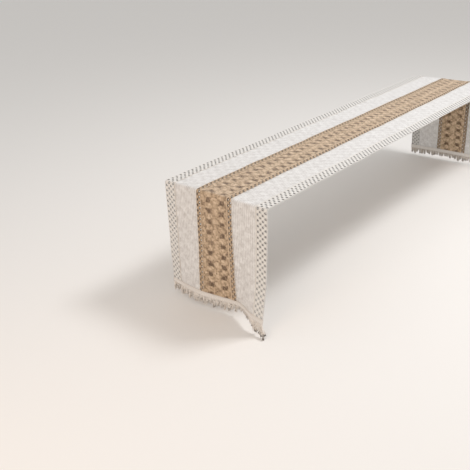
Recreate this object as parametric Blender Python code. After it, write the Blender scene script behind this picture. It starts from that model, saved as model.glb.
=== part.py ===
"""A seven-strip cotton and jute lace table runner, draped over a table top.

The runner hangs over two opposite edges of a table. Its origin is the middle of the cloth's
underside, on the table top. X runs across the runner, Y along it and Z up. The front drop hangs
at -Y and the back drop at +Y. Each drop turns about the edge of the table, so its strips are
objects of their own, apart from the strips that lie on the table.
"""

import math

import bmesh
import bpy
from mathutils import Vector

# Driving dimensions, in metres
RUNNER_WIDTH = 0.305
RUNNER_LENGTH = 1.829
DROP = 0.290
TRIM_WIDTH = 0.0313
COTTON_WIDTH = 0.0686
INSERTION_WIDTH = 0.0127
CLOTH = 0.0020
GAP = 0.0003

HEM_HEIGHT = 0.012
HEM_THICKNESS = 0.0030
FRINGE_LENGTH = 0.022
FRINGE_THICKNESS = 0.0025
FRINGE_TASSELS = 28
FRINGE_NOTCH = 0.006

THREAD_WIDTH = 0.0026
THREAD_HEIGHT = 0.0008

# How the front drop hangs: one wave across it, and a lower corner that lifts outwards
FRONT_WAVE = 0.0100
FRONT_WAVE_LENGTH = 0.300
FRONT_CREST = -0.060
FRONT_LEAN = 0.0052
CORNER_FLARE = 0.033
FLARE_START = 0.050
FLARE_END = 0.125
WAVE_GROWTH = 2.0
FLARE_GROWTH = 2.6

# How the back drop hangs: one shallow wave
BACK_WAVE = 0.004
BACK_WAVE_LENGTH = 0.300
DROP_ROWS = 12
STRIP_COLUMN = 0.006

# Worked out from the driving dimensions
CENTRE_WIDTH = RUNNER_WIDTH - 2 * (TRIM_WIDTH + COTTON_WIDTH + INSERTION_WIDTH)
TOP_LENGTH = RUNNER_LENGTH - 2 * DROP
HEM_BOTTOM = DROP - FRINGE_LENGTH
HEM_TOP = HEM_BOTTOM - HEM_HEIGHT

# Name, width and finish of each strip, from -X to +X
STRIPS = (
    ("left_lace_trim", TRIM_WIDTH, "cream_lace"),
    ("left_cotton_band", COTTON_WIDTH, "white_cotton"),
    ("left_jute_insertion", INSERTION_WIDTH, "jute_lace"),
    ("centre_jute_band", CENTRE_WIDTH, "jute_cloth"),
    ("right_jute_insertion", INSERTION_WIDTH, "jute_lace"),
    ("right_cotton_band", COTTON_WIDTH, "white_cotton"),
    ("right_lace_trim", TRIM_WIDTH, "cream_lace"),
)

# Name of the seam at the +X side of each strip but the last
SEAMS = (
    "left_trim_seam",
    "left_outer_insertion_seam",
    "left_inner_insertion_seam",
    "right_inner_insertion_seam",
    "right_outer_insertion_seam",
    "right_trim_seam",
)

# Colour (linear RGB), roughness and metallic value of each finish
FINISHES = {
    "cream_lace": ((0.80, 0.72, 0.62), 0.85, 0.0),
    "white_cotton": ((0.84, 0.80, 0.76), 0.80, 0.0),
    "jute_lace": ((0.36, 0.22, 0.11), 0.90, 0.0),
    "jute_cloth": ((0.48, 0.31, 0.17), 0.90, 0.0),
    "hem_braid": ((0.66, 0.57, 0.47), 0.85, 0.0),
    "fringe_yarn": ((0.70, 0.60, 0.50), 0.90, 0.0),
    "sewing_thread": ((0.78, 0.72, 0.62), 0.60, 0.0),
}


def clear_scene():
    """Remove whatever the scene starts with."""
    for thing in list(bpy.data.objects):
        bpy.data.objects.remove(thing, do_unlink=True)


def make_material(node_name, finish):
    """A Principled material of one node's own."""
    colour, roughness, metallic = FINISHES[finish]
    material = bpy.data.materials.new(node_name + "_" + finish)
    material.use_nodes = True
    shader = material.node_tree.nodes["Principled BSDF"]
    shader.inputs["Base Color"].default_value = (*colour, 1.0)
    shader.inputs["Roughness"].default_value = roughness
    shader.inputs["Metallic"].default_value = metallic
    return material


def smoothstep(value):
    """Ease from 0 to 1."""
    value = min(max(value, 0.0), 1.0)
    return value * value * (3.0 - 2.0 * value)


def front_offset(x, depth):
    """How far the front drop stands out from the table's edge, at a depth below the top."""
    hang = depth / DROP
    wave = FRONT_LEAN + FRONT_WAVE * math.cos(2 * math.pi * (x - FRONT_CREST) / FRONT_WAVE_LENGTH)
    flare = CORNER_FLARE * smoothstep((x - FLARE_START) / (FLARE_END - FLARE_START))
    return wave * hang ** WAVE_GROWTH + flare * hang ** FLARE_GROWTH


def back_offset(x, depth):
    """The same for the back drop, which hangs in one shallow wave."""
    hang = depth / DROP
    wave = 0.5 + 0.5 * math.cos(2 * math.pi * x / BACK_WAVE_LENGTH)
    return BACK_WAVE * wave * hang


def add_solid(name, finish, build_mesh, parent):
    """Make one object from a mesh builder, with its parent's joint as its origin."""
    mesh = bmesh.new()
    build_mesh(mesh)
    bmesh.ops.recalc_face_normals(mesh, faces=mesh.faces[:])
    data = bpy.data.meshes.new(name)
    bmesh.ops.translate(mesh, verts=mesh.verts[:], vec=-parent.location)
    mesh.to_mesh(data)
    mesh.free()
    data.materials.append(make_material(name, finish))
    part = bpy.data.objects.new(name, data)
    bpy.context.collection.objects.link(part)
    part.parent = parent
    return part


def box_builder(low, high):
    """A mesh builder for a straight bar between two corners."""
    size = Vector(high) - Vector(low)
    middle = (Vector(high) + Vector(low)) / 2

    def build(mesh):
        bmesh.ops.create_cube(mesh, size=1.0)
        bmesh.ops.scale(mesh, verts=mesh.verts[:], vec=size)
        bmesh.ops.translate(mesh, verts=mesh.verts[:], vec=middle)

    return build


def drop_builder(side, across, down, standoff, thickness, columns, rows, notch=0.0):
    """A mesh builder for a strip that hangs: side is -1 at the front and +1 at the back.

    across is its (low, high) reach in X and down its (upper, lower) depth under the table top.
    standoff is its distance from the cloth's inner face. A notch cuts its lower edge to points.
    """
    offset = front_offset if side < 0 else back_offset

    def hang(x, depth, out):
        y = side * (TOP_LENGTH / 2 + standoff + out + offset(x, depth))
        return Vector((x, y, -depth))

    def build(mesh):
        bmesh.ops.create_grid(mesh, x_segments=columns, y_segments=rows, size=0.5)
        low_x, high_x = across
        upper, lower = down
        for vert in mesh.verts:
            column = round((vert.co.x + 0.5) * columns)
            x = low_x + (high_x - low_x) * (vert.co.x + 0.5)
            depth = upper + (lower - upper) * (0.5 - vert.co.y)
            at_hem = vert.co.y < -0.49
            if at_hem and column % 2 == 0:
                depth -= notch
            vert.co = hang(x, depth, 0.0)
        grown = bmesh.ops.extrude_face_region(mesh, geom=mesh.faces[:])
        outer = [item for item in grown["geom"] if isinstance(item, bmesh.types.BMVert)]
        bmesh.ops.translate(mesh, verts=outer, vec=(0.0, side * thickness, 0.0))

    return build


def strip_edges():
    """The low and high X of each strip, with half a gap taken off at each seam."""
    edges = []
    x = -RUNNER_WIDTH / 2
    for index, (_, width, _) in enumerate(STRIPS):
        low = x + (GAP / 2 if index > 0 else 0.0)
        high = x + width - (GAP / 2 if index < len(STRIPS) - 1 else 0.0)
        edges.append((low, high))
        x += width
    return edges


def seam_places():
    """The X of each seam between two strips."""
    edges = strip_edges()
    return [(edges[i][1] + edges[i + 1][0]) / 2 for i in range(len(SEAMS))]


def make_top(root):
    """The strips and seam threads that lie on the table."""
    half = TOP_LENGTH / 2
    for (name, _, finish), (low, high) in zip(STRIPS, strip_edges()):
        build = box_builder((low, -half, 0.0), (high, half, CLOTH))
        add_solid(name + "_top", finish, build, root)
    bottom = CLOTH + GAP
    for name, x in zip(SEAMS, seam_places()):
        low = (x - THREAD_WIDTH / 2, -half, bottom)
        high = (x + THREAD_WIDTH / 2, half, bottom + THREAD_HEIGHT)
        add_solid(name + "_top", "sewing_thread", box_builder(low, high), root)


def make_drop(side, end, hinge):
    """The strips, seam threads, hem and fringe of one hanging end."""
    down = (GAP, HEM_TOP - GAP)
    for (name, width, finish), across in zip(STRIPS, strip_edges()):
        columns = math.ceil(width / STRIP_COLUMN)
        build = drop_builder(side, across, down, 0.0, CLOTH, columns, DROP_ROWS)
        add_solid(name + "_" + end, finish, build, hinge)
    for name, x in zip(SEAMS, seam_places()):
        across = (x - THREAD_WIDTH / 2, x + THREAD_WIDTH / 2)
        build = drop_builder(side, across, down, CLOTH + GAP, THREAD_HEIGHT, 1, DROP_ROWS)
        add_solid(name + "_" + end, "sewing_thread", build, hinge)

    across = (-RUNNER_WIDTH / 2, RUNNER_WIDTH / 2)
    hem_columns = 24
    build = drop_builder(side, across, (HEM_TOP, HEM_BOTTOM), 0.0, HEM_THICKNESS, hem_columns, 1)
    add_solid("hem_band_" + end, "hem_braid", build, hinge)
    stitch = (HEM_TOP + THREAD_WIDTH / 2, HEM_TOP + 3 * THREAD_WIDTH / 2)
    standoff = HEM_THICKNESS + GAP
    build = drop_builder(side, across, stitch, standoff, THREAD_HEIGHT, hem_columns, 1)
    add_solid("hem_seam_" + end, "sewing_thread", build, hinge)
    down = (HEM_BOTTOM + GAP, DROP)
    columns = 2 * FRINGE_TASSELS
    build = drop_builder(side, across, down, 0.0, FRINGE_THICKNESS, columns, 1, FRINGE_NOTCH)
    add_solid("fringe_" + end, "fringe_yarn", build, hinge)


def make_empty(name, location):
    """A parent for the pieces of one body, on its joint's axis."""
    empty = bpy.data.objects.new(name, None)
    empty.location = location
    bpy.context.collection.objects.link(empty)
    return empty


def main():
    clear_scene()
    half = TOP_LENGTH / 2
    root = make_empty("table_span", (0.0, 0.0, 0.0))
    front = make_empty("front_fold", (0.0, -half, 0.0))
    back = make_empty("back_fold", (0.0, half, 0.0))
    make_top(root)
    make_drop(-1, "front_drop", front)
    make_drop(1, "back_drop", back)
    bpy.context.view_layer.update()


main()
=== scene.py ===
"""A cotton and jute lace table runner: the visible cloth, lace, cords, hems and fringes.

Every piece is first made flat, as it was sewn: X across the runner, Y along it and Z up through
the cloth. drape() then lays the flat piece over the edges of the table.
"""

import math

import bmesh
import bpy
import numpy as np
from bpy.props import FloatProperty, FloatVectorProperty, IntProperty, PointerProperty
from mathutils import Matrix, Vector


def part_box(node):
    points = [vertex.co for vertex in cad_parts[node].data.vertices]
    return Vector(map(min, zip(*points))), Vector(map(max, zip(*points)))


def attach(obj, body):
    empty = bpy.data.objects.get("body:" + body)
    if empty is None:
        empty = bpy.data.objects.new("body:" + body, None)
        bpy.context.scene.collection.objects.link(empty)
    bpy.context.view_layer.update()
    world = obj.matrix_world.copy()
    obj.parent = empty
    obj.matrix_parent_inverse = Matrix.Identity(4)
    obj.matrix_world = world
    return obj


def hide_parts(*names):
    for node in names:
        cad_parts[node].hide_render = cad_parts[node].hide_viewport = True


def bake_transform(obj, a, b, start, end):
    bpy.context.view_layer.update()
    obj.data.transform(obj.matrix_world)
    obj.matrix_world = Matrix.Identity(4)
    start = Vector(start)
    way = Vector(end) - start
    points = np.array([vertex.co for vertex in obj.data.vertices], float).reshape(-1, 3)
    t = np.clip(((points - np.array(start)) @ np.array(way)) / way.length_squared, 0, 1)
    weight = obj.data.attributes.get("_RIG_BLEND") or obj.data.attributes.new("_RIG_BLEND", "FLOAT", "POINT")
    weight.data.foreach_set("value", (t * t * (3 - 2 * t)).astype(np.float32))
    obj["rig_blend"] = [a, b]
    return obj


bl_info = {
    "name": "Lace Table Runner",
    "version": (1, 0, 0),
    "blender": (4, 5, 0),
    "location": "View3D > Sidebar > Runner",
    "description": "Makes the strips, cords, hems and fringes of a draped lace table runner",
    "category": "Object",
}

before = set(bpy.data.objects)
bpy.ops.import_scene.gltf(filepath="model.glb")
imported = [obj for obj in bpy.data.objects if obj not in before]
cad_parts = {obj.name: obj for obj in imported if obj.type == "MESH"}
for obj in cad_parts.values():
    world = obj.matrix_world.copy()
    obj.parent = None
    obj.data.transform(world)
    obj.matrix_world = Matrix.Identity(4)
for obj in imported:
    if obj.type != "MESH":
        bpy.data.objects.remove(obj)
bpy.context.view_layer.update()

# Where the frame says that things are, in metres
HALF_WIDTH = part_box("right_lace_trim_top")[1][0]
TABLE_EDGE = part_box("centre_jute_band_top")[1][1]
HEM_LOW, HEM_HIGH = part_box("hem_band_back_drop")
HEM_TOP = -HEM_HIGH[2]
HEM_BOTTOM = -HEM_LOW[2]
DROP = -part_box("fringe_back_drop")[0][2]
CLOTH_END = TABLE_EDGE + HEM_TOP
SEAM_NAMES = (
    "left_trim_seam",
    "left_outer_insertion_seam",
    "left_inner_insertion_seam",
    "right_inner_insertion_seam",
    "right_outer_insertion_seam",
    "right_trim_seam",
)
ENDS = {"front_drop": -1, "back_drop": 1}
PITCHES_PER_HALF = 65
ROW_PITCH = CLOTH_END / PITCHES_PER_HALF
FIGURE_REPEATS = 33

# Relief and lace sizes, in metres, and how much each hole narrows half-way through
RIB_HEIGHT = 0.0005
FIGURE_DEPTH = 0.0006
FIGURE_HEIGHT = 0.00045
HEM_CLOTH = 0.0027
HEM_RELIEF = 0.0006
INSERTION_BAR = 0.00022
TRIM_TAPER = 0.70
INSERTION_TAPER = 0.76


def strip_reach(name):
    """The low and high X of a strip or a seam, from its piece on the table."""
    low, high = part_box(name + "_top")
    return low[0], high[0]


# ---------------------------------------------------------------------------------------------
# Settings
# ---------------------------------------------------------------------------------------------


class RunnerCut(bpy.types.PropertyGroup):
    """Sizes of the cloth and how it hangs"""

    cloth: FloatProperty(
        name="Cloth", description="Thickness of the cloth", default=0.0018, unit="LENGTH"
    )
    front_wave: FloatProperty(
        name="Front wave", description="Height of the wave in the front drop", default=0.0100
    )
    back_wave: FloatProperty(
        name="Back wave", description="Height of the wave in the back drop", default=0.004
    )
    wave_length: FloatProperty(
        name="Wave length", description="Width of one wave", default=0.300, unit="LENGTH"
    )
    crest: FloatProperty(
        name="Crest", description="Place across of the front wave's crest", default=-0.060
    )
    lean: FloatProperty(
        name="Lean", description="How far the front drop leans outwards", default=0.0052
    )
    flare: FloatProperty(
        name="Corner flare",
        description="How far the front drop's right corner lifts outwards",
        default=0.033,
        unit="LENGTH",
    )
    flare_start: FloatProperty(
        name="Flare start",
        description="Distance from the middle where the flare begins",
        default=0.050,
        unit="LENGTH",
    )
    flare_end: FloatProperty(
        name="Flare end",
        description="Distance from the middle where the flare is full",
        default=0.125,
        unit="LENGTH",
    )


class RunnerLace(bpy.types.PropertyGroup):
    """Sizes of the holes and cords in the lace"""

    bar: FloatProperty(
        name="Bar", description="Half the yarn between two holes", default=0.00075, unit="LENGTH"
    )
    knot: FloatProperty(
        name="Knot", description="Height of the raised knots", default=0.0008, unit="LENGTH"
    )
    knot_rim: FloatProperty(
        name="Knot rim", description="Slope round each knot", default=0.0011, unit="LENGTH"
    )
    picot: FloatProperty(
        name="Picot", description="Depth of the scalloped edge", default=0.0011, unit="LENGTH"
    )
    cord: FloatProperty(
        name="Cord", description="Radius of one strand of a cord", default=0.00055, unit="LENGTH"
    )
    twist: FloatProperty(
        name="Twist", description="Length of one turn of a cord", default=0.0070, unit="LENGTH"
    )


class RunnerFringe(bpy.types.PropertyGroup):
    """Count and size of the fringe yarns"""

    yarns: IntProperty(name="Yarns", description="Yarns in each fringe", default=1000)
    radius: FloatProperty(
        name="Radius", description="Radius of one yarn", default=0.00068, unit="LENGTH"
    )
    clump: FloatProperty(
        name="Clump", description="Width of one clump of yarns", default=0.0098, unit="LENGTH"
    )


def colour_property(name, description, default):
    """A linear colour that the panel shows."""
    return FloatVectorProperty(
        name=name, description=description, default=default, subtype="COLOR", size=3, min=0, max=1
    )


class RunnerColours(bpy.types.PropertyGroup):
    """Colours of the yarns and of their painted shade"""

    cream: colour_property("Cream", "Crochet trim yarn", (0.90, 0.87, 0.825))
    # Lace shade is painted shade: near-black inside the hole walls, dark as if a table stood behind the
    # holes.
    lace_shade: colour_property("Lace shade", "Inside the lace holes", (0.030, 0.022, 0.016))
    white: colour_property("White", "Cotton band yarn", (0.89, 0.875, 0.855))
    # White shade is partly painted shade in the rib grooves and partly random blotches and specks of tone.
    white_shade: colour_property("White shade", "Grooves of the cotton", (0.43, 0.395, 0.365))
    jute_light: colour_property("Light jute", "Raised figures", (0.80, 0.63, 0.45))
    jute_mid: colour_property("Mid jute", "Ground of the centre band", (0.56, 0.40, 0.255))
    # Dark jute colours the sunk figures and edges, and is painted shade on the lower side of the jute seam
    # cords.
    jute_dark: colour_property("Dark jute", "Sunk figures and edges", (0.12, 0.065, 0.03))
    hem: colour_property("Hem", "Woven hem band", (0.90, 0.86, 0.81))
    # Hem shade is painted shade in the grooves and at the rounded edges of the hem band, and on the lower
    # side of the cream seam cords.
    hem_shade: colour_property("Hem shade", "Grooves of the hem band", (0.52, 0.44, 0.37))
    fringe: colour_property("Fringe", "Loose end yarns", (0.91, 0.86, 0.80))
    # Fringe shade is painted shade on the yarns that lie further in, mixed with random tone for each yarn.
    fringe_shade: colour_property("Fringe shade", "Yarns deep in the fringe", (0.52, 0.43, 0.35))
    thread: colour_property("Thread", "Cords along the seams", (0.80, 0.76, 0.70))


class RunnerStudio(bpy.types.PropertyGroup):
    """Floor, lights and camera"""

    floor: colour_property("Floor", "Plain floor", (0.86, 0.83, 0.795))
    floor_gap: FloatProperty(
        name="Floor gap",
        description="Space between the fringe and the floor",
        default=0.006,
        unit="LENGTH",
    )
    key: FloatProperty(name="Key", description="Power of the key light", default=25.5)
    fill: FloatProperty(name="Fill", description="Power of the fill light", default=9.5)
    sky: FloatProperty(name="Sky", description="Strength of the even light", default=0.64)


def settings(group):
    """One of the runner's groups of settings."""
    return getattr(bpy.context.scene, group)


# ---------------------------------------------------------------------------------------------
# The drape
# ---------------------------------------------------------------------------------------------


def ease(value):
    """Smooth steps from 0 to 1."""
    value = np.clip(value, 0.0, 1.0)
    return value * value * (3.0 - 2.0 * value)


def bend_radius():
    """Inner radius of the fold that keeps the cloth's length when the drop is laid flat."""
    cloth = settings("runner_cut").cloth
    return math.pi * cloth / 4 / (2 - math.pi / 2)


def hang_offset(x, depth, side):
    """How far the hanging cloth stands out from the table's edge."""
    cut = settings("runner_cut")
    hang = np.clip(depth / DROP, 0.0, 1.1)
    turn = 2 * math.pi / cut.wave_length
    wave = (cut.lean + cut.front_wave * np.cos(turn * (x - cut.crest))) * hang ** 2
    reach = (x - cut.flare_start) / (cut.flare_end - cut.flare_start)
    front = wave + cut.flare * ease(reach) * hang ** 2.6
    back = cut.back_wave * (0.5 + 0.5 * np.cos(turn * x)) * hang
    return np.where(side < 0, front, back)


def settle(x, run):
    """Small hills where the cloth doesn't lie quite flat."""
    wide = np.sin(run * 61.0 + x * 23.0) * np.sin(x * 74.0 - run * 17.0 + 1.3)
    fine = np.sin(run * 143.0 - x * 51.0 + 0.7) * np.sin(x * 167.0 + run * 39.0)
    return 0.00030 * (1 + wide) + 0.00014 * (1 + fine)


def drape(flat):
    """Points of the flat runner, laid over the table: X across, Y along, Z through the cloth."""
    x, run, lift = flat[:, 0], flat[:, 1], flat[:, 2]
    side = np.where(run < 0, -1.0, 1.0)
    reach = np.abs(run)
    bend = bend_radius()
    lift = lift + settle(x, run)
    turn = np.clip((reach - TABLE_EDGE + bend) / (2 * bend), 0.0, 1.0) * math.pi / 2
    before = np.minimum(reach - TABLE_EDGE + bend, 0.0)
    below = np.maximum(reach - TABLE_EDGE - bend, 0.0)
    out = (bend + lift) * np.sin(turn) - bend + before
    up = (bend + lift) * np.cos(turn) - bend - below
    depth = np.maximum(-up, 0.0)
    out = out + hang_offset(x, depth, side) * (turn > 0)
    sway = 0.0007 * np.sin(run * 19.0 + 0.4) + 0.0004 * np.sin(run * 47.0 + x * 9.0)
    return np.column_stack((x + sway, side * (TABLE_EDGE + out), up))


# ---------------------------------------------------------------------------------------------
# Flat pieces
# ---------------------------------------------------------------------------------------------


def flat_grid(low_x, high_x, start, end, columns, rows):
    """A flat sheet of cells between two places along the runner."""
    mesh = bmesh.new()
    middle = Matrix.Translation(((low_x + high_x) / 2, (start + end) / 2, 0.0))
    size = Matrix.Diagonal(((high_x - low_x) / 2, (end - start) / 2, 1.0, 1.0))
    bmesh.ops.create_grid(
        mesh, x_segments=columns, y_segments=rows, size=1.0, matrix=middle @ size
    )
    return mesh


def space_columns(mesh, low_x, high_x, edges):
    """Move an even grid's columns to the given places between low_x and high_x."""
    steps = len(edges) - 1
    for vert in mesh.verts:
        column = round((vert.co.x - low_x) / (high_x - low_x) * steps)
        vert.co.x = edges[column]


def thicken(mesh, thickness):
    """Close a flat sheet into cloth of one thickness, with its upper side uppermost."""
    grown = bmesh.ops.extrude_face_region(mesh, geom=mesh.faces[:])
    upper = [item for item in grown["geom"] if isinstance(item, bmesh.types.BMVert)]
    bmesh.ops.translate(mesh, verts=upper, vec=(0.0, 0.0, thickness))
    bmesh.ops.recalc_face_normals(mesh, faces=mesh.faces[:])


def crease_layer(mesh):
    """The layer that holds how sharp each edge stays when the mesh is rounded."""
    layers = mesh.edges.layers.float
    return layers.get("crease_edge") or layers.new("crease_edge")


def ring_walls(mesh, thickness):
    """Add three lines of points inside every wall, which carry the painted shade inside the holes."""
    layer = crease_layer(mesh)
    upright = [
        edge
        for edge in mesh.edges
        if abs(edge.verts[0].co.z - edge.verts[1].co.z) > 0.4 * thickness
        and (edge.verts[0].co.xy - edge.verts[1].co.xy).length < 1e-6
    ]
    for edge in upright:
        edge[layer] = 0.7
    made = bmesh.ops.subdivide_edges(mesh, edges=upright, cuts=3)
    for item in made["geom_inner"]:
        if isinstance(item, bmesh.types.BMVert):
            level = round(4 * item.co.z / thickness)
            item.co.z = (0.12, 0.5, 0.88)[level - 1] * thickness


def taper_holes(mesh, thickness, edges, is_hole, share):
    """Narrow each hole half-way through the cloth, as round yarn does."""
    for vert in mesh.verts:
        column = sum(vert.co.x > edge for edge in edges) - 1
        row = math.floor(vert.co.y / (ROW_PITCH / 2))
        if not (0 <= column < len(edges) - 1 and is_hole(column, row)):
            continue
        middle_x = (edges[column] + edges[column + 1]) / 2
        middle_y = (row + 0.5) * ROW_PITCH / 2
        half_x = (edges[column + 1] - edges[column]) / 2
        inside_x = abs(vert.co.x - middle_x) < half_x - 1e-4
        inside_y = abs(vert.co.y - middle_y) < ROW_PITCH / 4 - 1e-4
        if inside_x and inside_y:
            pull = share * (1 - (2 * vert.co.z / thickness - 1) ** 2)
            vert.co.x += pull * (middle_x - vert.co.x)
            vert.co.y += pull * (middle_y - vert.co.y)


def painted_hole_shade_mask(flat, low_x, high_x, cloth):
    """True inside the walls of the holes, where the painted shade goes, and false at the strip's own two
    sides.
    """
    in_wall = np.abs(flat[:, 2] - cloth / 2) < 0.4 * cloth
    at_side = (flat[:, 0] < low_x + 1e-5) | (flat[:, 0] > high_x - 1e-5)
    return in_wall & ~at_side


def painted_hole_shade_tone(flat):
    """Painted shade inside the holes, dark as if a table stood behind them: lighter low on the drop."""
    return 0.3 * ease((np.abs(flat[:, 1]) - TABLE_EDGE - 0.06) / 0.10)


def crease_middle(mesh):
    """Keep the cut at the middle of the table sharp, where two halves of a strip meet."""
    layer = crease_layer(mesh)
    for edge in mesh.edges:
        if all(abs(vert.co.y) < 1e-5 for vert in edge.verts):
            edge[layer] = 1.0


def add_cloth_uv(data, flat):
    """A UV map in centimetres along the flat cloth."""
    layer = data.uv_layers.new(name="Cloth")
    index = np.empty(len(data.loops), dtype=np.int32)
    data.loops.foreach_get("vertex_index", index)
    layer.data.foreach_set("uv", (flat[index, :2] * 100.0).astype(np.float32).ravel())


def add_tone(data, tone):
    """A vertex attribute from 0, dark, to 1, light."""
    layer = data.attributes.new("tone", "FLOAT", "POINT")
    layer.data.foreach_set("value", np.clip(tone, 0.0, 1.0).astype(np.float32))


def finish_piece(name, mesh, material, tone, levels=0, relief=None):
    """Turn a flat bmesh into a draped object with its UV map, tone and finish."""
    data = bpy.data.meshes.new(name)
    mesh.to_mesh(data)
    mesh.free()
    flat = np.empty(len(data.vertices) * 3)
    data.vertices.foreach_get("co", flat)
    flat = flat.reshape(-1, 3)
    add_cloth_uv(data, flat)
    add_tone(data, tone(flat))
    if relief is not None:
        flat = relief(flat)
    data.vertices.foreach_set("co", drape(flat).astype(np.float32).ravel())
    data.shade_smooth()
    data.update()
    piece = bpy.data.objects.new(name, data)
    bpy.context.collection.objects.link(piece)
    data.materials.append(material)
    if levels:
        smooth = piece.modifiers.new("Rounded yarn", "SUBSURF")
        smooth.levels = levels
        smooth.render_levels = levels
    return piece


def halves():
    """Name and reach along the runner of its front and back halves."""
    for end, side in ENDS.items():
        start, stop = sorted((0.0, side * CLOTH_END))
        yield end, start, stop


def fold_over(piece, end):
    """Bend a piece across the fold between the table and one drop."""
    side = ENDS[end]
    bend = bend_radius()
    start = (0.0, side * (TABLE_EDGE - bend), 0.0)
    stop = (0.0, side * TABLE_EDGE, -bend)
    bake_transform(piece, "table_span", end, start=start, end=stop)


def strip_nodes(name, end):
    """The CAD pieces that half a strip stands for."""
    return (name + "_top", name + "_" + end)


# ---------------------------------------------------------------------------------------------
# Finishes
# ---------------------------------------------------------------------------------------------


def add_node(tree, kind, **sockets):
    """A node with some of its sockets set: an underscore stands for a space in a socket's name."""
    node = tree.nodes.new(kind)
    for name, value in sockets.items():
        node.inputs[name.replace("_", " ")].default_value = value
    return node


def math_node(tree, operation, first, second):
    """A Math node between two sockets or numbers."""
    node = tree.nodes.new("ShaderNodeMath")
    node.operation = operation
    for socket, value in zip(node.inputs, (first, second)):
        if isinstance(value, (int, float)):
            socket.default_value = value
        else:
            tree.links.new(value, socket)
    return node.outputs[0]


def weave_height(tree, place, across, along):
    """Crossing yarns as a height from 0 to 1, with their pitches in centimetres."""
    band = 2 * math.pi / 20
    waves = []
    for direction, pitch in (("X", across), ("Y", along)):
        wave = add_node(tree, "ShaderNodeTexWave", Scale=band / pitch, Distortion=0.6)
        wave.bands_direction = direction
        wave.inputs["Detail"].default_value = 1.0
        wave.inputs["Detail Scale"].default_value = 3.0
        tree.links.new(place, wave.inputs["Vector"])
        waves.append(wave.outputs["Fac"])
    return math_node(tree, "MULTIPLY", waves[0], waves[1])


def twist_height(tree, place, pitch):
    """Slanting plies of a twisted yarn as a height from 0 to 1."""
    band = 2 * math.pi / 20
    wave = add_node(tree, "ShaderNodeTexWave", Scale=band / pitch, Distortion=1.2)
    wave.bands_direction = "DIAGONAL"
    wave.inputs["Detail"].default_value = 2.0
    wave.inputs["Detail Scale"].default_value = 2.0
    tree.links.new(place, wave.inputs["Vector"])
    return wave.outputs["Fac"]


def yarn_finish(name, colours, height, relief, roughness=0.88, blotch=0.16, sheen=0.25):
    """Cloth whose colour follows the piece's tone, with the yarn's own relief, painted shade in the weave's
    grooves and uneven dye.

    colours run from the deepest to the lightest. height(tree, place) gives the yarn's height.
    """
    material = bpy.data.materials.new(name)
    material.use_nodes = True
    tree = material.node_tree
    shader = tree.nodes["Principled BSDF"]
    shader.inputs["Roughness"].default_value = roughness
    shader.inputs["Specular IOR Level"].default_value = 0.25
    shader.inputs["Sheen Weight"].default_value = sheen
    shader.inputs["Sheen Roughness"].default_value = 0.6

    place = add_node(tree, "ShaderNodeUVMap")
    place.uv_map = "Cloth"
    place = place.outputs["UV"]
    tone = add_node(tree, "ShaderNodeAttribute")
    tone.attribute_name = "tone"
    dye = add_node(tree, "ShaderNodeTexNoise", Scale=1.7, Detail=3.0, Roughness=0.6)
    fibre = add_node(tree, "ShaderNodeTexNoise", Scale=26.0, Detail=3.0, Roughness=0.7)
    tree.links.new(place, dye.inputs["Vector"])
    tree.links.new(place, fibre.inputs["Vector"])
    yarn = height(tree, place)

    uneven = math_node(tree, "SUBTRACT", dye.outputs["Fac"], 0.5)
    uneven = math_node(tree, "MULTIPLY", uneven, blotch * 2)
    grain = math_node(tree, "SUBTRACT", fibre.outputs["Fac"], 0.5)
    grain = math_node(tree, "MULTIPLY", grain, blotch * 2)
    # Painted shade: the colour darkens in the weave's grooves and lightens on its crowns.
    painted_crown_shade = math_node(tree, "SUBTRACT", yarn, 0.5)
    painted_crown_shade = math_node(tree, "MULTIPLY", painted_crown_shade, 0.22)
    depth = math_node(tree, "ADD", tone.outputs["Fac"], uneven)
    depth = math_node(tree, "ADD", depth, grain)
    depth = math_node(tree, "ADD", depth, painted_crown_shade)
    ramp = tree.nodes.new("ShaderNodeValToRGB")
    steps = ramp.color_ramp.elements
    while len(steps) < len(colours):
        steps.new(0.5)
    for index, (step, colour) in enumerate(zip(steps, colours)):
        step.position = index / (len(colours) - 1)
        step.color = (*colour, 1.0)
    tree.links.new(depth, ramp.inputs["Fac"])
    tree.links.new(ramp.outputs["Color"], shader.inputs["Base Color"])

    fuzz = math_node(tree, "MULTIPLY", fibre.outputs["Fac"], 0.5)
    height_sum = math_node(tree, "ADD", yarn, fuzz)
    bump = add_node(tree, "ShaderNodeBump", Strength=0.8, Distance=relief)
    tree.links.new(height_sum, bump.inputs["Height"])
    tree.links.new(bump.outputs["Normal"], shader.inputs["Normal"])
    return material


def crochet_finish():
    """Cream crochet yarn of the two trims."""
    colours = settings("runner_colours")
    # The darkest colour, lace_shade, is painted shade inside the holes.
    steps = (colours.lace_shade, colours.cream)
    return yarn_finish(
        "Cream crochet", steps, lambda t, p: weave_height(t, p, 0.227, 0.226), 0.0006
    )


def cotton_finish():
    """White ribbed cotton of the two wide bands."""
    colours = settings("runner_colours")
    steps = (colours.white_shade, colours.white)
    return yarn_finish(
        "White cotton", steps, lambda t, p: weave_height(t, p, 0.085, 0.11), 0.0002, blotch=0.10
    )


def jute_cloth_finish():
    """Tan figured cloth of the centre band."""
    colours = settings("runner_colours")
    steps = (colours.jute_dark, colours.jute_mid, colours.jute_light)
    return yarn_finish(
        "Jute cloth", steps, lambda t, p: weave_height(t, p, 0.10, 0.12), 0.0004, blotch=0.2
    )


def jute_lace_finish():
    """Brown and tan yarn of the two insertions."""
    colours = settings("runner_colours")
    # The darkest colour, lace_shade, is painted shade inside the holes.
    steps = (colours.lace_shade, colours.jute_mid, colours.jute_light)
    return yarn_finish(
        "Jute lace", steps, lambda t, p: weave_height(t, p, 0.21, 0.226), 0.0006
    )


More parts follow.
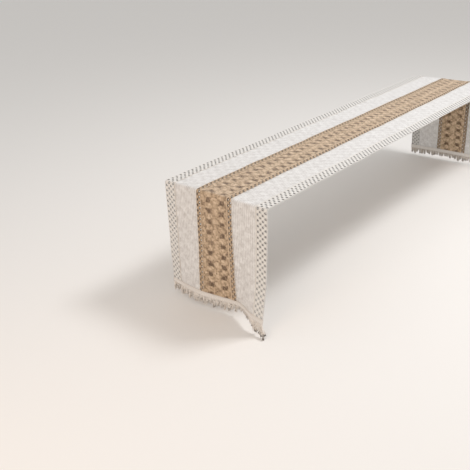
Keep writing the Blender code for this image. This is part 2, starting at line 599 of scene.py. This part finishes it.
def hem_finish():
    """Cream woven band along each end."""
    colours = settings("runner_colours")
    steps = (colours.hem_shade, colours.hem)
    return yarn_finish("Hem braid", steps, lambda t, p: weave_height(t, p, 0.14, 0.10), 0.0004)


def fringe_finish():
    """Loose yarn of the fringes."""
    colours = settings("runner_colours")
    steps = (colours.fringe_shade, colours.fringe)
    return yarn_finish("Fringe yarn", steps, lambda t, p: twist_height(t, p, 0.09), 0.0003)


def thread_finish(name, colour, shade):
    """Twisted cord or thread of one colour, darkened towards the shade colour where its tone is low, as
    painted shade.
    """
    return yarn_finish(
        name, (shade, colour), lambda t, p: twist_height(t, p, 0.07), 0.0002, sheen=0.35
    )


# ---------------------------------------------------------------------------------------------
# Lace
# ---------------------------------------------------------------------------------------------


def cell_of(face, edges):
    """The column and row of one cell of lace."""
    middle = face.calc_center_median()
    column = sum(middle.x > edge for edge in edges) - 1
    row = math.floor(middle.y / (ROW_PITCH / 2) + 1e-6)
    return column, row


def open_lace(mesh, edges, is_hole, bar, knot, rim):
    """Cut the holes of a sheet of cells, and raise a knot in each cell that stays."""
    holes = []
    solid = []
    for face in mesh.faces:
        column, row = cell_of(face, edges)
        if is_hole(column, row):
            holes.append(face)
        else:
            solid.append(face)
    bmesh.ops.inset_individual(mesh, faces=holes, thickness=bar, depth=0.0, use_even_offset=True)
    bmesh.ops.delete(mesh, geom=holes, context="FACES")
    bmesh.ops.inset_individual(
        mesh, faces=solid, thickness=rim, depth=knot, use_even_offset=True
    )


def lace_strip(low_x, high_x, start, end, widths, is_hole, bar):
    """A strip of lace whose columns have the given widths, from low_x to high_x."""
    lace = settings("runner_lace")
    total = sum(widths)
    edges = [low_x]
    for width in widths:
        edges.append(edges[-1] + width / total * (high_x - low_x))
    rows = 2 * PITCHES_PER_HALF
    mesh = flat_grid(low_x, high_x, start, end, len(widths), rows)
    space_columns(mesh, low_x, high_x, edges)
    open_lace(mesh, edges, is_hole, bar, lace.knot, lace.knot_rim)
    return mesh, edges


def absorb(mesh, other):
    """Add one bmesh to another, and free it."""
    data = bpy.data.meshes.new("passing")
    other.to_mesh(data)
    other.free()
    mesh.from_mesh(data)
    bpy.data.meshes.remove(data)


def make_cord(middle, radius, start, end, sides, rows):
    """A round cord along the runner. middle(run) gives its X and height at each place."""
    mesh = flat_grid(0.0, 1.0, start, end, sides, rows)
    for vert in mesh.verts:
        around = 2 * math.pi * vert.co.x
        x, height = middle(vert.co.y)
        vert.co.x = x + radius * math.cos(around)
        vert.co.z = height + radius * math.sin(around)
    bmesh.ops.remove_doubles(mesh, verts=mesh.verts[:], dist=1e-6)
    rims = [edge for edge in mesh.edges if edge.is_boundary]
    bmesh.ops.holes_fill(mesh, edges=rims, sides=0)
    bmesh.ops.recalc_face_normals(mesh, faces=mesh.faces[:])
    return mesh


class RUNNER_OT_lace_trims(bpy.types.Operator):
    """Make the two cream crochet trims with their open eyelets and scalloped edges"""

    bl_idname = "runner.lace_trims"
    bl_label = "Lace trims"

    def execute(self, context):
        finish = crochet_finish()
        for name, outer in (("left_lace_trim", -1), ("right_lace_trim", 1)):
            for end, start, stop in halves():
                make_trim_half(name, outer, end, start, stop, finish)
        return {"FINISHED"}


def make_trim_half(name, outer, end, start, stop, finish):
    """One half of a trim: a header, four columns of eyelets and a scalloped edge bar."""
    cloth = settings("runner_cut").cloth
    lace = settings("runner_lace")
    low_x, high_x = strip_reach(name)
    widths = [0.0014, 0.0068, 0.0068, 0.0068, 0.0080, 0.0013]
    edge_x = high_x if outer > 0 else low_x
    if outer < 0:
        widths.reverse()

    def is_hole(column, row):
        from_seam = column if outer > 0 else len(widths) - 1 - column
        return 1 <= from_seam <= 4 and (from_seam + row) % 2 == 0

    mesh, edges = lace_strip(low_x, high_x, start, stop, widths, is_hole, lace.bar)
    rim = [e for e in mesh.edges if all(abs(v.co.x - edge_x) < 1e-6 for v in e.verts)]
    bmesh.ops.subdivide_edges(mesh, edges=rim, cuts=1)
    thicken(mesh, cloth)
    ring_walls(mesh, cloth)
    taper_holes(mesh, cloth, edges, is_hole, TRIM_TAPER)
    crease_middle(mesh)

    def tone(flat):
        # Painted shade: lighter on the raised knot tops than round them, and dark inside the hole walls.
        knots = 0.84 + 0.16 * ease((flat[:, 2] - cloth) / lace.knot)
        return np.where(painted_hole_shade_mask(flat, low_x, high_x, cloth), painted_hole_shade_tone(flat), knots)

    def scallop(flat):
        at_rim = np.abs(flat[:, 0] - edge_x) < 1e-5
        wave = np.cos(2 * math.pi * flat[:, 1] / (ROW_PITCH / 2))
        flat[:, 0] -= np.where(at_rim, outer * lace.picot * (0.5 + 0.5 * wave), 0.0)
        return flat

    piece = finish_piece(
        f"{name}_{end}_cloth", mesh, finish, tone, levels=1, relief=scallop
    )
    fold_over(piece, end)
    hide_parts(*strip_nodes(name, end))


class RUNNER_OT_jute_insertions(bpy.types.Operator):
    """Make the two narrow brown insertions with their eyelets and zigzag cord"""

    bl_idname = "runner.jute_insertions"
    bl_label = "Jute insertions"

    def execute(self, context):
        finish = jute_lace_finish()
        for name, outer in (("left_jute_insertion", -1), ("right_jute_insertion", 1)):
            for end, start, stop in halves():
                make_insertion_half(name, outer, end, start, stop, finish)
        return {"FINISHED"}


def make_insertion_half(name, outer, end, start, stop, finish):
    """One half of an insertion: large eyelets by the centre band and small ones outside."""
    cloth = settings("runner_cut").cloth
    low_x, high_x = strip_reach(name)
    widths = [0.0006, 0.0066, 0.0050, 0.0005]
    if outer < 0:
        widths.reverse()

    def is_hole(column, row):
        from_centre = column if outer > 0 else len(widths) - 1 - column
        return 1 <= from_centre <= 2 and (from_centre + row) % 2 == 0

    lace = settings("runner_lace")
    mesh, edges = lace_strip(low_x, high_x, start, stop, widths, is_hole, INSERTION_BAR)
    thicken(mesh, cloth)
    ring_walls(mesh, cloth)
    taper_holes(mesh, cloth, edges, is_hole, INSERTION_TAPER)
    crease_middle(mesh)
    between = edges[2]
    swing = 0.0014
    radius = 0.0005

    def zigzag(run):
        phase = math.pi * run / (ROW_PITCH / 2)
        return between + outer * swing * math.sin(phase), cloth + 0.0004

    def cord_tone(flat):
        return 0.50 - 0.40 * np.sin(math.pi * flat[:, 1] / (ROW_PITCH / 2))

    def tone(flat):
        # The yarn's own brown, with painted shade: darker round the knots than on their raised tops, and
        # dark inside the hole walls.
        knots = 0.34 + 0.30 * ease((flat[:, 2] - cloth) / lace.knot)
        return np.where(painted_hole_shade_mask(flat, low_x, high_x, cloth), painted_hole_shade_tone(flat), knots)

    cord = make_cord(zigzag, radius, start, stop, 6, 8 * PITCHES_PER_HALF)
    cord = finish_piece(f"{name}_{end}_zigzag", cord, finish, cord_tone)
    fold_over(cord, end)
    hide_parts(*strip_nodes(name, end))

    piece = finish_piece(f"{name}_{end}_cloth", mesh, finish, tone, levels=1)
    fold_over(piece, end)
    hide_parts(*strip_nodes(name, end))


# ---------------------------------------------------------------------------------------------
# Woven bands
# ---------------------------------------------------------------------------------------------


def spot(distance, width):
    """1 near nothing, falling to 0 past a width."""
    return ease(1.5 - np.abs(distance) / width)


def mottle(flat, grain, seed):
    """Smooth blotches of one grain size, from -1 to 1."""
    cells = 97
    values = np.random.default_rng(seed).uniform(-1.0, 1.0, (cells, cells))
    across = flat[:, 0] / grain + 5000.0
    along = flat[:, 1] / grain + 5000.0
    column = np.floor(across).astype(int)
    row = np.floor(along).astype(int)
    right = ease(across - column)
    up = ease(along - row)
    near = values[row % cells, column % cells] * (1 - right)
    near = near + values[row % cells, (column + 1) % cells] * right
    far = values[(row + 1) % cells, column % cells] * (1 - right)
    far = far + values[(row + 1) % cells, (column + 1) % cells] * right
    return near * (1 - up) + far * up


class RUNNER_OT_cotton_bands(bpy.types.Operator):
    """Make the two white cotton bands with their ribs and blocks"""

    bl_idname = "runner.cotton_bands"
    bl_label = "Cotton bands"

    def execute(self, context):
        finish = cotton_finish()
        for name in ("left_cotton_band", "right_cotton_band"):
            for end, start, stop in halves():
                make_cotton_half(name, end, start, stop, finish)
        return {"FINISHED"}


def cotton_pattern(flat, low_x, high_x):
    """Height of the ribs and blocks from 0 to 1, with random blotches and specks; as tone it is painted
    shade in the rib grooves.
    """
    ribs = 13
    across = (flat[:, 0] - low_x) / (high_x - low_x)
    rib = 0.5 - 0.5 * np.cos(2 * math.pi * ribs * across)
    block = np.sin(2 * math.pi * across * 2) * np.sin(math.pi * flat[:, 1] / ROW_PITCH)
    flatter = 0.5 + 0.5 * np.tanh(4 * block)
    uneven = 0.5 + 0.5 * mottle(flat * (0.5, 1.0, 1.0), 0.0045, 3)
    speck = 0.5 + 0.5 * mottle(flat, 0.0024, 7)
    return rib * (0.30 + 0.16 * flatter) + 0.10 * flatter + 0.26 * uneven + 0.46 * speck


def make_cotton_half(name, end, start, stop, finish):
    """One half of a white band."""
    cloth = settings("runner_cut").cloth
    low_x, high_x = strip_reach(name)
    mesh = flat_grid(low_x, high_x, start, stop, 70, 240)
    thicken(mesh, cloth - RIB_HEIGHT)
    crease_middle(mesh)

    def tone(flat):
        # Painted shade in the rib grooves, which the same pattern sinks, besides the woven blocks and random
        # blotches and specks of tone.
        return 0.20 + 0.80 * cotton_pattern(flat, low_x, high_x)

    def ribbed(flat):
        upper = flat[:, 2] > cloth / 4
        flat[:, 2] += np.where(upper, RIB_HEIGHT * cotton_pattern(flat, low_x, high_x), 0.0)
        return flat

    piece = finish_piece(f"{name}_{end}_cloth", mesh, finish, tone, relief=ribbed)
    fold_over(piece, end)
    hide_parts(*strip_nodes(name, end))


class RUNNER_OT_centre_band(bpy.types.Operator):
    """Make the tan centre band with its repeated fans and ladders"""

    bl_idname = "runner.centre_band"
    bl_label = "Centre band"

    def execute(self, context):
        finish = jute_cloth_finish()
        for end, start, stop in halves():
            make_centre_half("centre_jute_band", end, start, stop, finish)
        return {"FINISHED"}


def window_figure(across, along):
    """A sunk window of three posts and three rungs about its middle, in millimetres."""
    inside = spot(across, 6.6) * spot(along, 5.4)
    posts = spot((across + 2.2) % 4.4 - 2.2, 1.3)
    rungs = spot((along + 2.3) % 4.6 - 2.3, 1.0)
    return inside * (0.35 + 0.65 * np.maximum(posts, 0.7 * rungs))


def leaf_figure(across, along, half_width, half_length):
    """A raised leaf with ribs that spread from its foot, in millimetres."""
    spread = half_width * (1 + 0.3 * np.clip(along / half_length, -1.5, 1.5))
    inside = ease(1.6 - 1.2 * np.hypot(across / spread, along / half_length))
    angle = np.arctan2(across, along + 1.4 * half_length)
    ribs = 0.5 + 0.5 * np.cos(angle * 17.0)
    return inside * (0.55 + 0.45 * ribs)


def leaf_rim(across, along, half_width, half_length):
    """The thin sunk line round the upper side of a leaf, in millimetres."""
    spread = half_width * (1 + 0.3 * np.clip(along / half_length, -1.5, 1.5))
    reach = np.hypot(across / spread, along / half_length)
    return spot(reach - 1.18, 0.11) * ease(0.6 + along / half_length)


def centre_pattern(flat):
    """Tone of the figured band: 0 for what is sunk and dark, 1 for what is raised and light."""
    low_x, high_x = strip_reach("centre_jute_band")
    width = (high_x - low_x) * 1000
    warped = flat[:, :2] + 0.0009 * np.column_stack((mottle(flat, 0.006, 5), mottle(flat, 0.006, 6)))
    across = (warped[:, 0] - low_x) * 1000
    repeat = CLOTH_END * 1000 / FIGURE_REPEATS
    run = warped[:, 1] * 1000
    on_row = (run + 0.5 * repeat) % repeat - repeat / 2
    off_row = run % repeat - repeat / 2
    coarse = mottle(flat, 0.0042, 1)
    fine = mottle(flat, 0.0019, 2)
    slub = mottle(flat * (0.3, 1.0, 1.0), 0.0017, 4)
    tone = 0.50 + 0.24 * coarse + 0.14 * fine + 0.10 * slub
    worn = 1.0 + 0.5 * coarse
    for place in (0.535, 0.035, 1.0):
        away = across - place * width
        tone += 0.20 * worn * leaf_figure(away, on_row, 8.5, 9.5)
        tone -= 0.14 * worn * leaf_rim(away, on_row, 8.5, 9.5)
    for place in (0.285, 0.785):
        away = across - place * width
        tone += 0.20 * worn * leaf_figure(away, off_row, 9.5, 7.0)
        tone -= 0.14 * worn * leaf_rim(away, off_row, 9.5, 7.0)
        tone -= 0.58 * (0.85 + 0.3 * fine) * window_figure(away, on_row)
    border = np.minimum(across, width - across)
    tone -= 0.22 * worn * spot(border - 4.4, 0.6)
    tone += 0.12 * spot(border - 2.4, 0.9)
    return tone


def make_centre_half(name, end, start, stop, finish):
    """One half of the centre band."""
    cloth = settings("runner_cut").cloth
    low_x, high_x = strip_reach(name)
    mesh = flat_grid(low_x, high_x, start, stop, 66, 620)
    thicken(mesh, cloth - FIGURE_DEPTH)
    crease_middle(mesh)

    def figured(flat):
        upper = flat[:, 2] > cloth / 4
        height = np.clip(centre_pattern(flat), 0.0, 1.0)
        flat[:, 2] += np.where(upper, FIGURE_HEIGHT * height, 0.0)
        return flat

    piece = finish_piece(
        f"{name}_{end}_cloth", mesh, finish, centre_pattern, relief=figured
    )
    fold_over(piece, end)
    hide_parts(*strip_nodes(name, end))


# ---------------------------------------------------------------------------------------------
# Cords, hems and fringes
# ---------------------------------------------------------------------------------------------


class RUNNER_OT_seam_cords(bpy.types.Operator):
    """Make the twisted cord along each long seam"""

    bl_idname = "runner.seam_cords"
    bl_label = "Seam cords"

    def execute(self, context):
        colours = settings("runner_colours")
        cream = thread_finish("Cream cord", colours.thread, colours.hem_shade)
        tan = thread_finish("Jute cord", colours.jute_light, colours.jute_dark)
        for name in SEAM_NAMES:
            finish = tan if "inner" in name else cream
            for end, start, stop in halves():
                make_seam_half(name, end, start, stop, finish)
        return {"FINISHED"}


def make_seam_half(name, end, start, stop, finish):
    """Two strands twisted round each other along one half of a seam."""
    cloth = settings("runner_cut").cloth
    lace = settings("runner_lace")
    low_x, high_x = strip_reach(name)
    middle_x = (low_x + high_x) / 2
    mesh = bmesh.new()
    for turned in (0.0, math.pi):

        def strand(run, turned=turned):
            phase = 2 * math.pi * run / lace.twist + turned
            x = middle_x + lace.cord * math.cos(phase)
            return x, cloth + lace.cord * (0.4 + 0.6 * math.sin(phase))

        rows = round(CLOTH_END / lace.twist * 6)
        absorb(mesh, make_cord(strand, lace.cord, start, stop, 5, rows))

    def tone(flat):
        # Painted shade: each strand darker on its lower side.
        return 0.5 + 0.3 * (flat[:, 2] - cloth) / lace.cord

    piece = finish_piece(f"{name}_{end}_cord", mesh, finish, tone)
    fold_over(piece, end)
    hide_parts(*strip_nodes(name, end))


class RUNNER_OT_hems(bpy.types.Operator):
    """Make the woven hem band and its stitches at each end"""

    bl_idname = "runner.hems"
    bl_label = "Hem bands"

    def execute(self, context):
        colours = settings("runner_colours")
        braid = hem_finish()
        thread = thread_finish("Hem thread", colours.thread, colours.hem_shade)
        for end, side in ENDS.items():
            make_hem(end, side, braid)
            make_hem_stitches(end, side, thread)
        return {"FINISHED"}


def make_hem(end, side, finish):
    """A folded band across one end."""
    top = TABLE_EDGE + HEM_TOP - 0.0006
    bottom = TABLE_EDGE + HEM_BOTTOM
    start, stop = sorted((side * top, side * bottom))
    mesh = flat_grid(-HALF_WIDTH, HALF_WIDTH, start, stop, 240, 8)
    thicken(mesh, HEM_CLOTH)

    def braid_height(flat):
        down = (np.abs(flat[:, 1]) - top) / (bottom - top)
        slant = np.sin(2 * math.pi * (flat[:, 0] / 0.0051 + 1.2 * np.abs(down - 0.5)))
        rounded = np.sqrt(np.clip(1 - (2 * down - 1) ** 2, 0.0, 1.0))
        return 0.5 * rounded + 0.25 * (1 + slant) * rounded

    def tone(flat):
        # Painted shade: darker in the slanting grooves and towards the band's rounded top and bottom edges.
        return 0.50 + 0.50 * braid_height(flat)

    def rounded(flat):
        upper = flat[:, 2] > HEM_CLOTH / 2
        height = braid_height(flat)
        flat[:, 2] += np.where(upper, HEM_RELIEF * height - HEM_RELIEF, 0.0)
        return flat

    piece = finish_piece(f"hem_band_{end}_braid", mesh, finish, tone, relief=rounded)
    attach(piece, end)
    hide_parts("hem_band_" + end)


def make_hem_stitches(end, side, finish):
    """A row of running stitches near the top of the hem band."""
    stitches = 76
    spacing = 2 * HALF_WIDTH / stitches
    run = side * (TABLE_EDGE + HEM_TOP + 0.0024)
    mesh = bmesh.new()
    for index in range(stitches):
        made = bmesh.ops.create_uvsphere(mesh, u_segments=8, v_segments=5, radius=0.5)
        x = -HALF_WIDTH + spacing * (index + 0.5)
        size = Matrix.Diagonal((spacing * 0.72, 0.0010, 0.0008, 1.0))
        place = Matrix.Translation((x, run, HEM_CLOTH)) @ Matrix.Rotation(0.08, 4, "Z") @ size
        bmesh.ops.transform(mesh, matrix=place, verts=made["verts"])
    piece = finish_piece(
        f"hem_seam_{end}_stitches",
        mesh,
        finish,
        lambda flat: np.full(len(flat), 0.8),
    )
    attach(piece, end)
    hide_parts("hem_seam_" + end)


class RUNNER_OT_fringes(bpy.types.Operator):
    """Make the short fringe of loose yarns at each end"""

    bl_idname = "runner.fringes"
    bl_label = "Fringes"

    def execute(self, context):
        finish = fringe_finish()
        for end, side in ENDS.items():
            make_fringe(end, side, finish)
        return {"FINISHED"}


def plain_yarn(sides, joints):
    """One straight yarn of unit length down -Y with a unit radius."""
    mesh = bmesh.new()
    upright = Matrix.Rotation(math.pi / 2, 4, "X")
    bmesh.ops.create_circle(mesh, cap_ends=True, segments=sides, radius=1.0, matrix=upright)
    tip = next(iter(mesh.faces))
    steps = [0.96 / (joints - 1)] * (joints - 1) + [0.04]
    for joint, step in enumerate(steps):
        grown = bmesh.ops.extrude_face_region(mesh, geom=[tip], use_keep_orig=joint == 0)
        tip = next(item for item in grown["geom"] if isinstance(item, bmesh.types.BMFace))
        bmesh.ops.translate(mesh, verts=tip.verts[:], vec=(0.0, -step, 0.0))
    for edge in tip.edges:
        edge.smooth = False
    bmesh.ops.recalc_face_normals(mesh, faces=mesh.faces[:])
    data = bpy.data.meshes.new("yarn")
    mesh.to_mesh(data)
    mesh.free()
    return data


def make_fringe(end, side, finish):
    """The loose yarns of one end, which gather into clumps towards their tips."""
    fringe = settings("runner_fringe")
    seed = 11 if side < 0 else 12
    draw = np.random.default_rng(seed)
    yarn = plain_yarn(5, 6)
    mesh = bmesh.new()
    for _ in range(fringe.yarns):
        mesh.from_mesh(yarn)
    count = len(yarn.vertices)
    bpy.data.meshes.remove(yarn)
    local = np.array([vert.co for vert in mesh.verts]).reshape(fringe.yarns, count, 3)

    down = -local[:, :, 1]
    order = np.arange(fringe.yarns)
    root_x = -HALF_WIDTH + 0.0008 + (2 * HALF_WIDTH - 0.0016) * (order + 0.5) / fringe.yarns
    root_x = root_x + draw.normal(0.0, 0.0004, fringe.yarns)
    clump = np.round(root_x / fringe.clump) * fringe.clump
    clump = clump + 0.002 * np.sin(clump * 900.0)
    pull = (clump - root_x) * draw.uniform(0.3, 0.8, fringe.yarns)
    pull = pull + draw.normal(0.0, 0.0012, fringe.yarns)
    ragged = draw.uniform(0.56, 0.95, 200)[np.round(root_x / fringe.clump).astype(int) + 100]
    edge = np.abs(clump - root_x) / fringe.clump
    length = (DROP - HEM_BOTTOM + 0.0015) * ragged
    length = length * (1.04 - 0.30 * edge + draw.normal(0.0, 0.05, fringe.yarns))
    depth_at = draw.uniform(0.0004, 0.0026, fringe.yarns)
    tip_out = draw.normal(0.0008, 0.0012, fringe.yarns)
    if side < 0:
        gathered = ease((root_x - 0.045) / 0.02) * (1 - ease((root_x - 0.098) / 0.025))
        corner = ease((root_x - 0.088) / 0.055)
        length = length * (1 - 0.60 * gathered) * (1 + 0.50 * corner)
        splay = np.minimum(0.030 * corner, HALF_WIDTH + 0.0115 - root_x)
    else:
        splay = np.zeros(fringe.yarns)
    wobble = draw.uniform(0, 2 * math.pi, fringe.yarns)

    taper = fringe.radius * (1.0 - 0.35 * down ** 3)
    curve = ease(down)
    sideways = (pull + splay)[:, None] * curve
    sideways = sideways + 0.0006 * np.sin(down * 7.0 + wobble[:, None]) * down
    flat = np.empty_like(local)
    flat[:, :, 0] = root_x[:, None] + sideways + local[:, :, 0] * taper
    run = TABLE_EDGE + HEM_BOTTOM - 0.0015 + down * length[:, None]
    flat[:, :, 1] = side * run
    flat[:, :, 2] = depth_at[:, None] + tip_out[:, None] * curve + local[:, :, 2] * taper
    for vert, place in zip(mesh.verts, flat.reshape(-1, 3)):
        vert.co = place
    bmesh.ops.recalc_face_normals(mesh, faces=mesh.faces[:])
    # Random tone for each yarn, painted shade on the yarns that lie further in, and lighter towards the
    # tips.
    shade = draw.normal(0.68, 0.16, fringe.yarns)
    deep = (0.3 * (depth_at - 0.0015) / 0.0011)[:, None]
    tones = (shade[:, None] + deep + 0.10 * down).ravel()
    piece = finish_piece(
        f"fringe_{end}_yarns", mesh, finish, lambda flat: tones
    )
    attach(piece, end)
    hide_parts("fringe_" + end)


# ---------------------------------------------------------------------------------------------
# Studio
# ---------------------------------------------------------------------------------------------


class RUNNER_OT_studio(bpy.types.Operator):
    """Make the floor, the lights and the camera"""

    bl_idname = "runner.studio"
    bl_label = "Studio"

    def execute(self, context):
        make_floor()
        make_lights()
        make_camera()
        return {"FINISHED"}


def make_floor():
    """A plain pale floor just under the fringes."""
    studio = settings("runner_studio")
    material = bpy.data.materials.new("Floor")
    material.use_nodes = True
    tree = material.node_tree
    shader = tree.nodes["Principled BSDF"]
    shader.inputs["Roughness"].default_value = 0.9
    shader.inputs["Specular IOR Level"].default_value = 0.1
    shader.inputs["Base Color"].default_value = (*studio.floor, 1.0)
    mesh = bmesh.new()
    level = Matrix.Translation((0.0, 0.0, -DROP - studio.floor_gap))
    bmesh.ops.create_grid(mesh, x_segments=1, y_segments=1, size=12.0, matrix=level)
    data = bpy.data.meshes.new("floor")
    mesh.to_mesh(data)
    mesh.free()
    data.materials.append(material)
    floor = bpy.data.objects.new("floor", data)
    bpy.context.collection.objects.link(floor)


def add_area_light(name, power, size, place, target, colour):
    """A square soft light that faces a target."""
    data = bpy.data.lights.new(name, "AREA")
    data.energy = power
    data.size = size
    data.color = colour
    light = bpy.data.objects.new(name, data)
    light.location = place
    light.rotation_euler = (Vector(target) - Vector(place)).to_track_quat("-Z", "Y").to_euler()
    bpy.context.collection.objects.link(light)


def make_lights():
    """A key from above and behind, a warm fill from the camera's side, and an even sky."""
    studio = settings("runner_studio")
    target = (0.0, -TABLE_EDGE / 2, -0.05)
    add_area_light("key", studio.key, 0.6, (0.85, 0.55, 1.75), target, (0.97, 0.98, 1.0))
    add_area_light("fill", studio.fill, 1.0, (0.25, -2.3, 0.75), target, (1.0, 0.74, 0.54))
    world = bpy.data.worlds.new("Even sky")
    world.use_nodes = True
    world.node_tree.nodes["Background"].inputs["Color"].default_value = (1.0, 1.0, 1.0, 1.0)
    world.node_tree.nodes["Background"].inputs["Strength"].default_value = studio.sky
    bpy.context.scene.world = world
    bpy.context.scene.view_settings.view_transform = "Standard"


def make_camera():
    """The camera, placed from the middle of the front fold."""
    offset = Vector((0.957, -0.999, 0.558))
    turn, tilt, roll = (math.radians(value) for value in (41.99, 25.58, -3.0))
    forward = Vector(
        (-math.sin(turn) * math.cos(tilt), math.cos(turn) * math.cos(tilt), -math.sin(tilt))
    )
    level = Vector((math.cos(turn), math.sin(turn), 0.0))
    above = level.cross(forward)
    right = math.cos(roll) * level + math.sin(roll) * above
    up = -math.sin(roll) * level + math.cos(roll) * above
    data = bpy.data.cameras.new("camera")
    data.lens = 51.6
    data.sensor_width = 36.0
    camera = bpy.data.objects.new("camera", data)
    axes = Matrix((right, up, -forward)).transposed().to_4x4()
    place = Vector((0.0, -TABLE_EDGE, settings("runner_cut").cloth)) + offset
    camera.matrix_world = Matrix.Translation(place) @ axes
    bpy.context.collection.objects.link(camera)
    bpy.context.scene.camera = camera


# ---------------------------------------------------------------------------------------------
# Panel and registration
# ---------------------------------------------------------------------------------------------

GROUPS = {
    "runner_cut": RunnerCut,
    "runner_lace": RunnerLace,
    "runner_fringe": RunnerFringe,
    "runner_colours": RunnerColours,
    "runner_studio": RunnerStudio,
}
OPERATORS = (
    RUNNER_OT_studio,
    RUNNER_OT_lace_trims,
    RUNNER_OT_cotton_bands,
    RUNNER_OT_jute_insertions,
    RUNNER_OT_centre_band,
    RUNNER_OT_seam_cords,
    RUNNER_OT_hems,
    RUNNER_OT_fringes,
)


class RUNNER_PT_panel(bpy.types.Panel):
    """Settings and makers of the table runner"""

    bl_idname = "RUNNER_PT_panel"
    bl_label = "Lace table runner"
    bl_space_type = "VIEW_3D"
    bl_region_type = "UI"
    bl_category = "Runner"

    def draw(self, context):
        for group, kind in GROUPS.items():
            box = self.layout.box()
            box.label(text=kind.__doc__)
            for name in kind.__annotations__:
                box.prop(getattr(context.scene, group), name)
        for operator in OPERATORS:
            self.layout.operator(operator.bl_idname)


def register():
    for group, kind in GROUPS.items():
        bpy.utils.register_class(kind)
        setattr(bpy.types.Scene, group, PointerProperty(type=kind))
    for kind in (*OPERATORS, RUNNER_PT_panel):
        bpy.utils.register_class(kind)


def unregister():
    for kind in (RUNNER_PT_panel, *reversed(OPERATORS)):
        bpy.utils.unregister_class(kind)
    for group, kind in reversed(GROUPS.items()):
        delattr(bpy.types.Scene, group)
        bpy.utils.unregister_class(kind)


def main():
    register()
    for operator in OPERATORS:
        group, name = operator.bl_idname.split(".")
        getattr(getattr(bpy.ops, group), name)()


if __name__ == "__main__":
    main()
